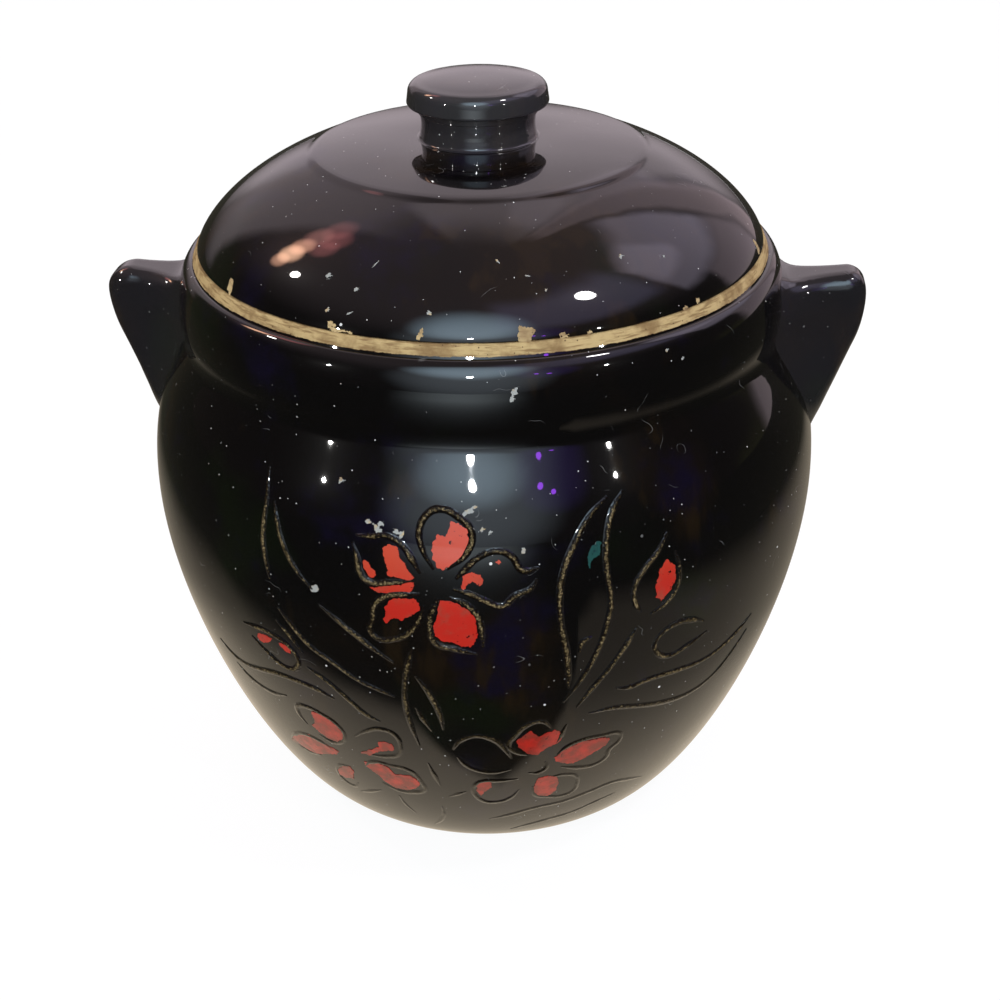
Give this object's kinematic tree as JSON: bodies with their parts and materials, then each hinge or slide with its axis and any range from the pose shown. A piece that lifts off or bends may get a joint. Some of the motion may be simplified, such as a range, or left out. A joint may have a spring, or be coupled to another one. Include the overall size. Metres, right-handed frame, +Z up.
{
  "type": "cookie jar",
  "caption": "Round dark-glazed pottery jar with a domed lift-off lid, a disc knob, two lug handles, and flowers drawn in trailed slip with painted petals.",
  "frame": {"origin": "on the table under the middle of the foot", "axes": "+Z up, the two lug handles lie along X, and the flowers face -Y"},
  "size_m": [0.2229, 0.2009, 0.2217],
  "materials": {
    "black_glaze": "gloss",
    "slip_line": "gloss",
    "bare_clay": "matt",
    "red_paint": "satin",
    "green_paint": "satin"
  },
  "bodies": {
    "jar": {"jar_body": "black_glaze", "left_handle": "black_glaze", "right_handle": "black_glaze", "upper_flower": "slip_line", "left_lower_flower": "slip_line", "right_lower_flower": "slip_line", "left_bud": "slip_line", "right_bud": "slip_line", "left_leaves": "slip_line", "left_long_leaf": "slip_line", "right_leaves": "slip_line", "right_oval_leaf": "slip_line", "right_long_leaf": "slip_line", "stems": "slip_line", "ground_leaves": "slip_line"},
    "lid": {"lid": "black_glaze", "lid_knob": "black_glaze"}
  },
  "joints": [
    {"name": "lid_lift", "type": "slide", "parent": "jar", "child": "lid", "axis": [0, 0, 1], "range_m": [0, 0.12]}
  ]
}
